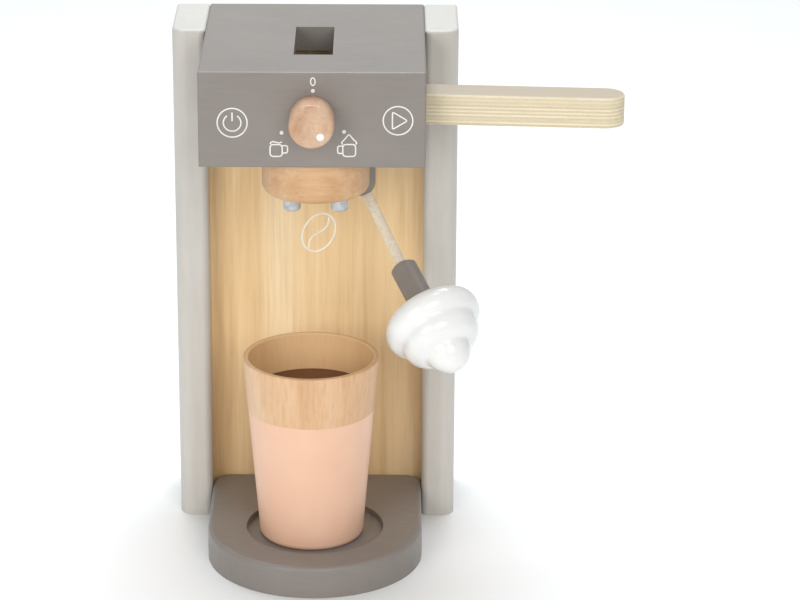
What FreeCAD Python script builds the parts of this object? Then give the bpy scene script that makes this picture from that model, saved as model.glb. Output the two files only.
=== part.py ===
import FreeCAD, Part
import math
import os
import re

import Sketcher
from FreeCAD import Placement, Rotation, Vector

doc = FreeCAD.newDocument("toy_coffee_maker")
sheet = doc.addObject("Spreadsheet::Sheet", "Sizes")

# Driving dimensions in millimetres and degrees. X is across, Y runs back from
# the head's front face, Z is up from the table.
driving = [
    ("inner_half_width", 53.4, "centre line to the inner face of a side panel"),
    ("panel_thickness", 16.6, "side panel"),
    ("panel_front", 73.0, "front edge of the side panels behind the head's face"),
    ("panel_depth", 51.0, "side panel, front to back"),
    ("outer_round", 7.5, "outer front edge of a side panel"),
    ("inner_round", 3.5, "inner front edge of a side panel"),
    ("soft_edge", 1.5, "other edges of the painted boards"),
    ("body_height", 257.0, "top of the panels and of the head"),
    ("board_setback", 90.0, "front face of the back board behind the head's face"),
    ("board_thickness", 8.0, "back board"),
    ("groove_depth", 4.0, "grooves in the side panels for the back board"),
    ("head_board", 12.0, "boards of the brew head"),
    ("head_height", 46.5, "brew head, bottom to top"),
    ("head_edge", 1.2, "edges of the brew head"),
    ("drop_width", 18.6, "pad drop hole, across"),
    ("drop_front", 30.5, "pad drop hole, front edge"),
    ("drop_length", 49.5, "pad drop hole, front to back"),
    ("plate_thickness", 16.0, "base plate"),
    ("plate_centre", 27.0, "centre of the plate's round front"),
    ("plate_gap", 0.2, "between the plate and a side panel"),
    ("plate_corner", 9.0, "rear corners of the plate in plan"),
    ("plate_edge", 2.0, "top edge of the plate"),
    ("recess_radius", 34.0, "round recess for the cup"),
    ("recess_depth", 3.0, "round recess for the cup"),
    ("recess_centre", 25.0, "recess, behind the head's face"),
    ("knob_radius", 10.6, "dial knob"),
    ("knob_length", 16.0, "dial knob, front to back"),
    ("knob_drop", 21.8, "knob axis below the top of the head"),
    ("knob_edge", 2.0, "front edge of the knob"),
    ("face_gap", 0.3, "between a turning piece and the face beside it"),
    ("axle_radius", 3.0, "knob axle"),
    ("axle_grip", 9.0, "length of axle glued into the knob"),
    ("running_gap", 0.05, "radial, for a shaft that turns in its bore"),
    ("glue_gap", 0.03, "radial, for a dowel or pin glued in its hole"),
    ("washer_radius", 7.0, "retaining washer behind the front board"),
    ("washer_thickness", 2.0, "retaining washer behind the front board"),
    ("pointer_radius", 1.8, "inlaid dot on the knob"),
    ("pointer_depth", 1.0, "inlaid dot on the knob"),
    ("pointer_offset", 6.2, "dot from the knob's axis"),
    ("pointer_angle", -48.0, "dot's direction, from +X towards +Z"),
    ("group_x", 1.0, "brew group axis, across"),
    ("group_y", 30.0, "brew group axis, behind the head's face"),
    ("group_radius", 25.8, "turned group disc"),
    ("group_height", 20.0, "turned group disc"),
    ("group_round", 4.0, "lower edge of the group disc"),
    ("spindle_radius", 5.0, "spindle through the head's floor"),
    ("spindle_grip", 14.0, "length of spindle glued into the disc"),
    ("spindle_below", 1.0, "spindle's end below the lever's top"),
    ("lever_thickness", 15.0, "plywood lever"),
    ("lever_width", 18.6, "plywood lever"),
    ("lever_reach", 137.4, "pivot to the centre of the lever's round end"),
    ("lever_edge", 1.2, "edges of the lever"),
    ("lever_angle", -4.0, "lever at rest, from +X towards +Y"),
    ("lever_swing", 25.0, "how far the lever swings back"),
    ("slot_end_gap", 3.0, "beside the lever at both ends of its swing"),
    ("slot_gap", 1.0, "above and below the lever in its slot"),
    ("slot_wall", 2.0, "wood between the slot and the dowel behind it"),
    ("spacer_radius", 9.0, "spacer ring under the lever"),
    ("spacer_thickness", 3.8, "spacer ring under the lever"),
    ("spout_radius", 4.1, "spout"),
    ("spout_offset", 11.4, "spout from the group's axis"),
    ("spout_length", 10.3, "spout below the disc"),
    ("spout_tenon", 4.0, "spout's tenon in the disc"),
    ("spout_tenon_radius", 3.0, "spout's tenon in the disc"),
    ("spout_bore", 1.9, "spout's mouth"),
    ("spout_bore_depth", 6.0, "spout's mouth"),
    ("spout_edge", 1.0, "lower edge of a spout"),
    ("holder_x", 22.4, "cord holder, across"),
    ("holder_y", 55.6, "cord holder, behind the head's face"),
    ("holder_radius", 7.2, "cord holder"),
    ("holder_straight", 24.6, "straight length of the cord holder"),
    ("holder_tenon_radius", 4.0, "holder's tenon in the head's floor"),
    ("holder_tenon", 9.0, "holder's tenon in the head's floor"),
    ("cord_radius", 2.7, "braided cord"),
    ("cord_socket", 2.0, "depth of the holes that the cord is glued into"),
    ("cord_socket_gap", 0.2, "radial, round the cord in its holes"),
    ("nozzle_radius", 6.6, "frother nozzle"),
    ("nozzle_length", 32.0, "frother nozzle"),
    ("nozzle_edge", 1.0, "ends of the nozzle"),
    ("magnet_radius", 4.0, "holding magnets"),
    ("magnet_thickness", 2.0, "holding magnets"),
    ("foam_length", 36.8, "foam swirl, collar to tip"),
    ("foam_socket", 6.0, "depth of the swirl's socket for the nozzle"),
    ("foam_socket_gap", 0.3, "radial, round the nozzle in its socket"),
    ("foam_collar", 14.0, "radius of the swirl's back face"),
    ("foam_tier_one", 24.0, "radius of the lowest tier"),
    ("foam_tier_two", 17.6, "radius of the middle tier"),
    ("foam_tier_three", 9.4, "radius of the upper tier"),
    ("foam_waist_one", 17.0, "radius between the first two tiers"),
    ("foam_waist_two", 8.8, "radius between the last two tiers"),
    ("foam_waist_three", 4.0, "radius under the tip"),
    ("foam_level_one", 14.0, "first waist above the swirl's back face"),
    ("foam_level_two", 24.4, "second waist above the swirl's back face"),
    ("foam_level_three", 31.8, "third waist above the swirl's back face"),
    ("foam_belly", 0.54, "widest place of a tier, as a share of its height"),
    ("foam_tip_radius", 3.6, "rounded tip"),
    ("cup_x", -1.6, "cup's axis, across"),
    ("cup_rim_radius", 33.2, "outside of the rim"),
    ("cup_foot_radius", 25.4, "outside of the foot"),
    ("cup_height", 93.5, "foot to rim"),
    ("cup_wall", 2.6, "cup's wall"),
    ("cup_floor", 6.0, "cup's floor"),
    ("cup_foot_round", 3.0, "foot's edge"),
    ("cup_rim_round", 0.8, "rim's edges"),
    ("coffee_below_rim", 18.2, "top of the coffee disc below the rim"),
    ("coffee_thickness", 4.0, "coffee disc"),
    ("coffee_gap", 0.15, "radial, round the coffee disc"),
    ("dowel_radius", 4.0, "joining dowels"),
    ("dowel_length", 20.0, "joining dowels"),
    ("dowel_play", 0.5, "free length at each end of a dowel"),
    ("front_dowel_reach", 32.0, "dowels from the front board up into the top board"),
    ("screw_radius", 2.0, "screws through the back board into the plate"),
    ("screw_length", 26.0, "screws through the back board into the plate"),
    ("screw_head_radius", 4.0, "countersunk head"),
    ("screw_head_height", 2.4, "countersunk head"),
    ("screw_spacing", 60.0, "between the two screws"),
]
for row, (alias, number, note) in enumerate(driving, 1):
    sheet.set("A%d" % row, note)
    sheet.set("B%d" % row, str(number))
    sheet.setAlias("B%d" % row, alias)
doc.recompute()


def size(alias):
    return float(sheet.get(alias))


def bind(item, prop, text):
    """Tie a property to a formula in the sheet's own names."""
    item.setExpression(prop, re.sub(r"\b([a-z]+(?:_[a-z]+)+)\b", r"Sizes.\1", text))


def add(body, kind, name, sizes, at, turn=None):
    """Add or cut a block, cylinder, cone or ball in a body."""
    item = body.newObject("PartDesign::" + kind, name)
    if turn:
        item.Placement = Placement(Vector(), turn)
    for prop, text in sizes.items():
        bind(item, prop, text)
    for axis, text in zip("xyz", at):
        bind(item, "Placement.Base." + axis, text)
    doc.recompute()
    return item


def soften(body, name, radius, wanted):
    """Round the edges of a body that the test picks by their middle point."""
    base = body.Tip
    picked = []
    for number, edge in enumerate(base.Shape.Edges, 1):
        middle = edge.valueAt((edge.FirstParameter + edge.LastParameter) / 2)
        if wanted(edge, middle):
            picked.append("Edge%d" % number)
    fillet = body.newObject("PartDesign::Fillet", name)
    fillet.Base = (base, picked)
    bind(fillet, "Radius", radius)
    doc.recompute()
    return fillet


def near(first, second, tolerance=0.01):
    return abs(first - second) < tolerance


def upright(edge):
    low, high = edge.Vertexes[0].Point, edge.Vertexes[-1].Point
    return near(low.x, high.x) and near(low.y, high.y) and not near(low.z, high.z)


def new_body(name):
    body = doc.addObject("PartDesign::Body", name)
    body.Label = name
    return body


to_back = Rotation(Vector(0, 0, 1), Vector(0, 1, 0))
to_right = Rotation(Vector(0, 0, 1), Vector(1, 0, 0))
half = "inner_half_width"
head_bottom = "(body_height - head_height)"
top_under = "(body_height - head_board)"
knob_level = "(body_height - knob_drop)"
lever_bottom = "(%s + head_board + face_gap + spacer_thickness)" % head_bottom
dowel_hole = "dowel_radius + glue_gap"
dowel_reach = "(dowel_length / 2 + dowel_play)"
side_middle = "(inner_half_width - head_board / 2)"
to_front = Rotation(Vector(0, 0, 1), Vector(0, -1, 0))


def dowels(node, axis, places):
    """Dowels along one axis, and the holes for them in what they join."""
    turn = {"x": to_right, "y": to_back, "z": Rotation()}[axis]
    links = []
    for count, (x, y, z, joined) in enumerate(places, 1):
        centre = dict(x=x, y=y, z=z)
        start = dict(centre)
        start[axis] = "%s - dowel_length / 2" % centre[axis]
        dowel = doc.addObject("Part::Cylinder", "%s_%d" % (node, count))
        dowel.Placement = Placement(Vector(), turn)
        bind(dowel, "Radius", "dowel_radius")
        bind(dowel, "Height", "dowel_length")
        for letter in "xyz":
            bind(dowel, "Placement.Base." + letter, start[letter])
        start[axis] = "%s - %s" % (centre[axis], dowel_reach)
        for body in joined:
            add(body, "SubtractiveCylinder", "%s_%s_hole_%d" % (body.Name, node, count),
                {"Radius": dowel_hole, "Height": "2 * " + dowel_reach},
                [start[letter] for letter in "xyz"], turn)
        links.append(dowel)
    group = doc.addObject("Part::Compound", node)
    group.Links = links
    return group


def side_panel(name, side):
    """A thick board, rounded in front and grooved for the back board."""
    body = new_body(name)
    left = "-%s - panel_thickness" % half if side < 0 else half
    add(body, "AdditiveBox", name + "_block",
        {"Length": "panel_thickness", "Width": "panel_depth", "Height": "body_height"},
        (left, "panel_front", "0"))
    inner = side * size("inner_half_width")
    outer = side * (size("inner_half_width") + size("panel_thickness"))
    front = size("panel_front")
    back = front + size("panel_depth")
    top = size("body_height")
    soften(body, name + "_outer", "outer_round",
           lambda e, m: upright(e) and near(m.x, outer) and near(m.y, front))
    soften(body, name + "_inner", "inner_round",
           lambda e, m: upright(e) and near(m.x, inner) and near(m.y, front))
    soften(body, name + "_edges", "soft_edge",
           lambda e, m: near(m.z, top) or (upright(e) and near(m.y, back)))
    start = "-%s - groove_depth" % half if side < 0 else half
    add(body, "SubtractiveBox", name + "_groove",
        {"Length": "groove_depth", "Width": "board_thickness", "Height": top_under},
        (start, "board_setback", "0"))
    return body


left_panel = side_panel("left_side_panel", -1)
right_panel = side_panel("right_side_panel", 1)

back_board = new_body("back_board")
add(back_board, "AdditiveBox", "back_board_sheet",
    {"Length": "2 * (inner_half_width + groove_depth)", "Width": "board_thickness",
     "Height": top_under},
    ("-inner_half_width - groove_depth", "board_setback", "0"))

# The plate is a block with a half-round front and a shallow round recess.
plate_half = "(inner_half_width - plate_gap)"
base_plate = new_body("base_plate")
add(base_plate, "AdditiveCylinder", "plate_front",
    {"Radius": plate_half, "Height": "plate_thickness"}, ("0", "plate_centre", "0"))
add(base_plate, "AdditiveBox", "plate_block",
    {"Length": "2 * " + plate_half, "Width": "board_setback - plate_centre",
     "Height": "plate_thickness"}, ("-" + plate_half, "plate_centre", "0"))
plate_back = size("board_setback")
plate_top = size("plate_thickness")
soften(base_plate, "plate_corners", "plate_corner",
       lambda e, m: upright(e) and near(m.y, plate_back))
soften(base_plate, "plate_rim", "plate_edge",
       lambda e, m: near(m.z, plate_top) and not near(m.y, plate_back))
add(base_plate, "SubtractiveCylinder", "cup_recess",
    {"Radius": "recess_radius", "Height": "recess_depth"},
    ("0", "recess_centre", "plate_thickness - recess_depth"))

# The brew head is a box of boards: top, front, two sides and a floor.
top_board = new_body("head_top_board")
add(top_board, "AdditiveBox", "top_sheet",
    {"Length": "2 * inner_half_width", "Width": "panel_front + panel_depth",
     "Height": "head_board"}, ("-inner_half_width", "0", top_under))
roof = size("body_height")
soften(top_board, "top_edges", "head_edge",
       lambda e, m: near(m.z, roof) or (upright(e) and near(m.y, 0)))
add(top_board, "SubtractiveBox", "drop_hole",
    {"Length": "drop_width", "Width": "drop_length", "Height": "head_board"},
    ("-drop_width / 2", "drop_front", top_under))

floor_level = size("body_height") - size("head_height")
front_board = new_body("head_front_board")
add(front_board, "AdditiveBox", "front_sheet",
    {"Length": "2 * inner_half_width", "Width": "head_board",
     "Height": "head_height - head_board"}, ("-inner_half_width", "0", head_bottom))
soften(front_board, "front_edges", "head_edge",
       lambda e, m: near(m.y, 0) and (upright(e) or near(m.z, floor_level)))
add(front_board, "SubtractiveCylinder", "knob_bore",
    {"Radius": "axle_radius + running_gap", "Height": "head_board"},
    ("0", "0", knob_level), to_back)


def side_board(name, side):
    """A side of the head, from the front board back to the back board."""
    body = new_body(name)
    start = "-inner_half_width" if side < 0 else "inner_half_width - head_board"
    add(body, "AdditiveBox", name + "_sheet",
        {"Length": "head_board", "Width": "board_setback - head_board",
         "Height": "head_height - head_board"}, (start, "head_board", head_bottom))
    return body


left_board = side_board("head_left_board", -1)
right_board = side_board("head_right_board", 1)

# The slot reaches past the lever's sides at rest and at the end of its swing,
# where they cross the outer face of this board.
crossing = "group_y + (inner_half_width - group_x) * tan(%s)"
rest_turn = "(lever_angle * 1 deg)"
full_turn = "((lever_angle + lever_swing) * 1 deg)"
slot_front = "(%s - lever_width / 2 / cos%s - slot_end_gap)" % (crossing % rest_turn, rest_turn)
slot_back = "(%s + lever_width / 2 / cos%s + slot_end_gap)" % (crossing % full_turn, full_turn)
add(right_board, "SubtractiveBox", "lever_slot",
    {"Length": "head_board", "Width": "%s - %s" % (slot_back, slot_front),
     "Height": "lever_thickness + 2 * slot_gap"},
    ("inner_half_width - head_board", slot_front, lever_bottom + " - slot_gap"))

floor_board = new_body("head_floor_board")
add(floor_board, "AdditiveBox", "floor_sheet",
    {"Length": "2 * (inner_half_width - head_board)", "Width": "board_setback - head_board",
     "Height": "head_board"}, ("head_board - inner_half_width", "head_board", head_bottom))
add(floor_board, "SubtractiveCylinder", "spindle_bore",
    {"Radius": "spindle_radius + running_gap", "Height": "head_board"},
    ("group_x", "group_y", head_bottom))
add(floor_board, "SubtractiveCylinder", "holder_bore",
    {"Radius": "holder_tenon_radius + glue_gap", "Height": "holder_tenon + dowel_play"},
    ("holder_x", "holder_y", head_bottom))

low_row = "(%s + head_board / 2)" % head_bottom
high_row = "(%s - head_board + dowel_play)" % top_under
rear_column = "(panel_front + board_setback) / 2"
dowels("head_dowels", "x", [
    (sign + "inner_half_width", rear_column, level, joined)
    for sign, joined in (("-", (left_panel, left_board)), ("", (right_panel, right_board)))
    for level in (low_row, high_row)])
dowels("front_dowels", "y", [
    (sign + side_middle, "head_board", low_row, (front_board, board))
    for sign, board in (("-", left_board), ("", right_board))])
behind_slot = "(%s + slot_wall + dowel_radius)" % slot_back
dowels("top_dowels", "z", [
    ("-" + side_middle, behind_slot, top_under, (top_board, left_board)),
    (side_middle, behind_slot, top_under, (top_board, right_board)),
    ("-front_dowel_reach", "head_board / 2", top_under, (top_board, front_board)),
    ("front_dowel_reach", "head_board / 2", top_under, (top_board, front_board))])

# Countersunk screws hold the plate from behind the back board.
screw_parts = []
rear = "board_setback + board_thickness"
for count, sign in enumerate((-1, 1), 1):
    place = ("%d * screw_spacing / 2" % sign, rear, "plate_thickness / 2")
    shank = doc.addObject("Part::Cylinder", "screw_shank_%d" % count)
    head = doc.addObject("Part::Cone", "screw_head_%d" % count)
    for item in (shank, head):
        item.Placement = Placement(Vector(), to_front)
        for letter, text in zip("xyz", place):
            bind(item, "Placement.Base." + letter, text)
    bind(shank, "Radius", "screw_radius")
    bind(shank, "Height", "screw_length")
    bind(head, "Radius1", "screw_head_radius")
    bind(head, "Radius2", "screw_radius")
    bind(head, "Height", "screw_head_height")
    screw = doc.addObject("Part::Fuse", "screw_%d" % count)
    screw.Base, screw.Tool = shank, head
    screw_parts.append(screw)
    for body in (back_board, base_plate):
        add(body, "SubtractiveCylinder", "%s_screw_hole_%d" % (body.Name, count),
            {"Radius": "screw_radius + glue_gap", "Height": "screw_length + dowel_play"},
            place, to_front)
    add(back_board, "SubtractiveCone", "countersink_%d" % count,
        {"Radius1": "screw_head_radius + glue_gap", "Radius2": "screw_radius + glue_gap",
         "Height": "screw_head_height"}, place, to_front)
screws = doc.addObject("Part::Compound", "plate_screws")
screws.Links = screw_parts

# The dial knob is glued on a dowel axle, which a washer holds in the board.
knob = new_body("knob")
knob_base = ("0", "-face_gap", knob_level)
add(knob, "AdditiveCylinder", "knob_turning",
    {"Radius": "knob_radius", "Height": "knob_length"}, knob_base, to_front)
knob_face = -size("face_gap") - size("knob_length")
soften(knob, "knob_round", "knob_edge", lambda e, m: near(m.y, knob_face))
add(knob, "SubtractiveCylinder", "axle_hole",
    {"Radius": "axle_radius + glue_gap", "Height": "axle_grip + dowel_play"},
    knob_base, to_front)
angle = "pointer_angle * 1 deg"
pointer_place = ("pointer_offset * cos(%s)" % angle, "-face_gap - knob_length",
                 "%s + pointer_offset * sin(%s)" % (knob_level, angle))
add(knob, "SubtractiveCylinder", "pointer_hole",
    {"Radius": "pointer_radius + glue_gap", "Height": "pointer_depth"}, pointer_place, to_back)
pointer = new_body("knob_pointer")
add(pointer, "AdditiveCylinder", "pointer_dot",
    {"Radius": "pointer_radius", "Height": "pointer_depth"}, pointer_place, to_back)
axle = new_body("knob_axle")
add(axle, "AdditiveCylinder", "axle_rod",
    {"Radius": "axle_radius",
     "Height": "axle_grip + face_gap + head_board + face_gap + washer_thickness"},
    ("0", "-axle_grip - face_gap", knob_level), to_back)
washer = new_body("knob_washer")
washer_place = ("0", "head_board + face_gap", knob_level)
add(washer, "AdditiveCylinder", "washer_disc",
    {"Radius": "washer_radius", "Height": "washer_thickness"}, washer_place, to_back)
add(washer, "SubtractiveCylinder", "washer_hole",
    {"Radius": "axle_radius + glue_gap", "Height": "washer_thickness"}, washer_place, to_back)


def group_body(name, steps):
    """Round pieces on the brew group's axis, from kind, radius, height and level."""
    body = new_body(name)
    for count, (kind, radius, height, level) in enumerate(steps, 1):
        add(body, kind, "%s_step_%d" % (name, count),
            {"Radius": radius, "Height": height}, ("group_x", "group_y", level))
    return body


disc_bottom = "(%s - face_gap - group_height)" % head_bottom
group_disc = group_body("group_disc", [
    ("AdditiveCylinder", "group_radius", "group_height", disc_bottom)])
disc_low = floor_level - size("face_gap") - size("group_height")
disc_high = disc_low + size("group_height")
soften(group_disc, "disc_round", "group_round", lambda e, m: near(m.z, disc_low))
soften(group_disc, "disc_edge", "head_edge", lambda e, m: near(m.z, disc_high))
spindle_start = "(%s - face_gap - spindle_grip)" % head_bottom
add(group_disc, "SubtractiveCylinder", "spindle_hole",
    {"Radius": "spindle_radius + glue_gap", "Height": "spindle_grip + dowel_play"},
    ("group_x", "group_y", spindle_start + " - dowel_play"))
spindle = group_body("group_spindle", [
    ("AdditiveCylinder", "spindle_radius",
     "%s + lever_thickness - spindle_below - %s" % (lever_bottom, spindle_start),
     spindle_start)])
spacer_level = "%s + head_board + face_gap" % head_bottom
spacer = group_body("lever_spacer", [
    ("AdditiveCylinder", "spacer_radius", "spacer_thickness", spacer_level),
    ("SubtractiveCylinder", "spindle_radius + glue_gap", "spacer_thickness", spacer_level)])

# The lever's outline is a sketch on the floor plane: two half circles and two lines.
lever = new_body("lever")
outline = lever.newObject("Sketcher::SketchObject", "lever_outline")
plane = [feature for feature in lever.Origin.OriginFeatures if feature.Role == "XY_Plane"][0]
outline.AttachmentSupport = (plane, [""])
outline.MapMode = "FlatFace"
reach, wide = size("lever_reach"), size("lever_width") / 2
up = Vector(0, 0, 1)
quarter = math.pi / 2
outline.addGeometry([
    Part.ArcOfCircle(Part.Circle(Vector(), up, wide), quarter, 3 * quarter),
    Part.LineSegment(Vector(0, -wide, 0), Vector(reach, -wide, 0)),
    Part.ArcOfCircle(Part.Circle(Vector(reach, 0, 0), up, wide), -quarter, quarter),
    Part.LineSegment(Vector(reach, wide, 0), Vector(0, wide, 0))], False)
outline.addConstraint([
    Sketcher.Constraint("Tangent", 0, 2, 1, 1), Sketcher.Constraint("Tangent", 1, 2, 2, 1),
    Sketcher.Constraint("Tangent", 2, 2, 3, 1), Sketcher.Constraint("Tangent", 3, 2, 0, 1),
    Sketcher.Constraint("Coincident", 0, 3, -1, 1),
    Sketcher.Constraint("PointOnObject", 2, 3, -1),
    Sketcher.Constraint("Radius", 0, wide),
    Sketcher.Constraint("DistanceX", 0, 3, 2, 3, reach)])
outline.renameConstraint(6, "end_round")
outline.renameConstraint(7, "reach")
bind(outline, "Constraints.end_round", "lever_width / 2")
bind(outline, "Constraints.reach", "lever_reach")
doc.recompute()
pad = lever.newObject("PartDesign::Pad", "lever_pad")
pad.Profile = outline
bind(pad, "Length", "lever_thickness")
doc.recompute()
soften(lever, "lever_rounds", "lever_edge",
       lambda e, m: near(m.z, 0) or near(m.z, size("lever_thickness")))
add(lever, "SubtractiveCylinder", "lever_bore",
    {"Radius": "spindle_radius + glue_gap", "Height": "lever_thickness"}, ("0", "0", "0"))
lever.Placement = Placement(Vector(), Rotation(up, size("lever_angle")))
for letter, text in zip("xyz", ("group_x", "group_y", lever_bottom)):
    bind(lever, "Placement.Base." + letter, text)


def spout(name, side):
    """A short turned spout with a tenon in the group disc and an open mouth."""
    body = new_body(name)
    place = ("group_x + %d * spout_offset" % side, "group_y")
    low = (disc_bottom + " - spout_length",)
    add(body, "AdditiveCylinder", name + "_tube",
        {"Radius": "spout_radius", "Height": "spout_length"}, place + low)
    mouth = disc_low - size("spout_length")
    soften(body, name + "_round", "spout_edge", lambda e, m: near(m.z, mouth))
    add(body, "AdditiveCylinder", name + "_tenon",
        {"Radius": "spout_tenon_radius", "Height": "spout_tenon"}, place + (disc_bottom,))
    add(body, "SubtractiveCylinder", name + "_mouth",
        {"Radius": "spout_bore", "Height": "spout_bore_depth"}, place + low)
    add(group_disc, "SubtractiveCylinder", name + "_socket",
        {"Radius": "spout_tenon_radius + glue_gap", "Height": "spout_tenon + dowel_play"},
        place + (disc_bottom,))
    return body


spout("spout_left", -1)
spout("spout_right", 1)

# Cord route, from the centre of the holder's round end: it starts inside that end
# and stops in the nozzle, and the nozzle and the swirl carry on along its last run.
route = [(2.3, -0.7, -4.6), (7.2, -2.3, -14.7), (12.2, -6.3, -24.2), (17.1, -12.4, -32.7),
         (21.6, -20.5, -38.7)]
holder_centre = Vector(size("holder_x"), size("holder_y"), floor_level - size("holder_straight"))
cord_points = [holder_centre + Vector(*offset) for offset in route]
first_run = (cord_points[1] - cord_points[0]).normalize()
last_run = (cord_points[-1] - cord_points[-2]).normalize()


def cord_path(points, share=0.45):
    """Straight runs joined by tangent arcs, which take a share of the shorter run each."""
    edges, radii, last = [], [], points[0]
    for before, here, after in zip(points, points[1:], points[2:]):
        back, ahead = before - here, after - here
        cut = share * min(back.Length, ahead.Length)
        turn = math.pi - back.getAngle(ahead)
        radii.append(cut / math.tan(turn / 2))
        back.normalize()
        ahead.normalize()
        start, end = here + back * cut, here + ahead * cut
        inward = (back + ahead).normalize()
        middle = here + inward * (radii[-1] / math.cos(turn / 2) - radii[-1])
        edges.append(Part.LineSegment(last, start).toShape())
        edges.append(Part.Arc(start, middle, end).toShape())
        last = end
    edges.append(Part.LineSegment(last, points[-1]).toShape())
    print("cord radii mm", [round(radius, 1) for radius in radii])
    return Part.Wire(edges)


path = cord_path(cord_points)
ring = Part.Wire(Part.makeCircle(size("cord_radius"), cord_points[0], first_run))
tube = path.makePipeShell([ring], True, False)
expected = math.pi * size("cord_radius") ** 2 * path.Length
print("cord length %.1f mm, volume share %.4f" % (path.Length, tube.Volume / expected))
cord = doc.addObject("Part::Feature", "frother_cord")
cord.Label = "frother_cord"
cord.Shape = tube

# The cord holder hangs from the head's floor, and the cord leaves its round end.
holder = new_body("cord_holder")
ball_level = "(%s - holder_straight)" % head_bottom
add(holder, "AdditiveCylinder", "holder_rod",
    {"Radius": "holder_radius", "Height": "holder_straight"},
    ("holder_x", "holder_y", ball_level))
add(holder, "AdditiveSphere", "holder_end", {"Radius": "holder_radius"},
    ("holder_x", "holder_y", ball_level))
add(holder, "AdditiveCylinder", "holder_pin",
    {"Radius": "holder_tenon_radius", "Height": "holder_tenon"},
    ("holder_x", "holder_y", head_bottom))
cord_hole = holder.newObject("PartDesign::SubtractiveCylinder", "holder_cord_hole")
bind(cord_hole, "Radius", "cord_radius + cord_socket_gap")
bind(cord_hole, "Height", "holder_radius")
cord_hole.Placement = Placement(cord_points[0], Rotation(up, first_run))
doc.recompute()


def turned(name, profile, place):
    """Lathe work: a half outline on the XZ plane, turned round the piece's axis."""
    body = new_body(name)
    sketch = body.newObject("Sketcher::SketchObject", name + "_outline")
    upright_plane = [feature for feature in body.Origin.OriginFeatures
                     if feature.Role == "XZ_Plane"][0]
    sketch.AttachmentSupport = (upright_plane, [""])
    sketch.MapMode = "FlatFace"
    sketch.addGeometry(profile, False)
    for number in range(len(profile)):
        follower = (number + 1) % len(profile)
        sketch.addConstraint(Sketcher.Constraint("Coincident", number, 2, follower, 1))
    for number in range(len(profile)):
        sketch.addConstraint(Sketcher.Constraint("Block", number))
    doc.recompute()
    turning = body.newObject("PartDesign::Revolution", name + "_turning")
    turning.Profile = sketch
    turning.ReferenceAxis = (sketch, ["V_Axis"])
    turning.Angle = 360
    doc.recompute()
    body.Placement = place
    return body


def line(start, end):
    return Part.LineSegment(Vector(*start, 0), Vector(*end, 0))


def lines(corners):
    return [line(a, b) for a, b in zip(corners, corners[1:])]


def along_nozzle(distance):
    return Placement(cord_points[-1] + last_run * distance, Rotation(up, last_run))


nozzle_out, nozzle_long, soft = size("nozzle_radius"), size("nozzle_length"), size("nozzle_edge")
cord_wall = size("cord_radius") + size("cord_socket_gap")
magnet_wall = size("magnet_radius") + size("glue_gap")
magnet_floor = nozzle_long - size("magnet_thickness")
socket_top = -size("cord_socket")
nozzle_corners = [
    (0, 0), (cord_wall, 0), (cord_wall, socket_top), (nozzle_out - soft, socket_top),
    (nozzle_out, socket_top + soft), (nozzle_out, nozzle_long - soft),
    (nozzle_out - soft, nozzle_long), (magnet_wall, nozzle_long), (magnet_wall, magnet_floor),
    (0, magnet_floor), (0, 0)]
nozzle = turned("nozzle", lines(nozzle_corners), along_nozzle(0))


def magnet(name, distance):
    body = new_body(name)
    item = body.newObject("PartDesign::AdditiveCylinder", name + "_disc")
    bind(item, "Radius", "magnet_radius")
    bind(item, "Height", "magnet_thickness")
    doc.recompute()
    body.Placement = along_nozzle(distance)
    return body


magnet("nozzle_magnet", magnet_floor)
magnet("foam_magnet", nozzle_long + size("face_gap"))


def bow(start, end, radius_out, level_out):
    """An arc from start to end through a point further out."""
    return Part.Arc(Vector(*start, 0), Vector(radius_out, level_out, 0), Vector(*end, 0))


# The swirl's tiers, each a bow between a waist and the next one.
foam_start = nozzle_long + size("face_gap") - size("foam_socket")
long = size("foam_length")
socket_wall = size("nozzle_radius") + size("foam_socket_gap")
socket_floor = size("foam_socket")
seat_wall = size("magnet_radius") + size("glue_gap")
seat_floor = socket_floor + size("magnet_thickness")
collar = (size("foam_collar"), 0)
waists = [collar] + [(size("foam_waist_" + tier), size("foam_level_" + tier))
                     for tier in ("one", "two", "three")]
tip_round = size("foam_tip_radius")
diagonal = math.cos(math.pi / 4)
foam_outline = lines([
    (0, seat_floor), (seat_wall, seat_floor), (seat_wall, socket_floor),
    (socket_wall, socket_floor), (socket_wall, 0), collar])
for tier, low, high in zip(("one", "two", "three"), waists, waists[1:]):
    belly = low[1] + (high[1] - low[1]) * size("foam_belly")
    foam_outline.append(bow(low, high, size("foam_tier_" + tier), belly))
tip_start = (tip_round, long - tip_round)
foam_outline += [
    line(waists[-1], tip_start),
    bow(tip_start, (0, long), tip_round * diagonal, tip_start[1] + tip_round * diagonal),
    line((0, long), (0, seat_floor))]
foam = turned("foam_swirl", foam_outline, along_nozzle(foam_start))

# The cup is a turned cone with a floor; the coffee disc wedges in its taper.
cup_base = "(plate_thickness - recess_depth)"
cup_place = ("cup_x", "recess_centre", cup_base)
cup = new_body("cup")
add(cup, "AdditiveCone", "cup_outside",
    {"Radius1": "cup_foot_radius", "Radius2": "cup_rim_radius", "Height": "cup_height"},
    cup_place)
foot_level = size("plate_thickness") - size("recess_depth")
rim_level = foot_level + size("cup_height")
soften(cup, "cup_foot", "cup_foot_round", lambda e, m: near(m.z, foot_level))
slope = "((cup_rim_radius - cup_foot_radius) / cup_height)"
add(cup, "SubtractiveCone", "cup_inside",
    {"Radius1": "cup_foot_radius - cup_wall + %s * cup_floor" % slope,
     "Radius2": "cup_rim_radius - cup_wall", "Height": "cup_height - cup_floor"},
    ("cup_x", "recess_centre", cup_base + " + cup_floor"))
soften(cup, "cup_rim", "cup_rim_round", lambda e, m: near(m.z, rim_level))
coffee = new_body("coffee_disc")
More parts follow.
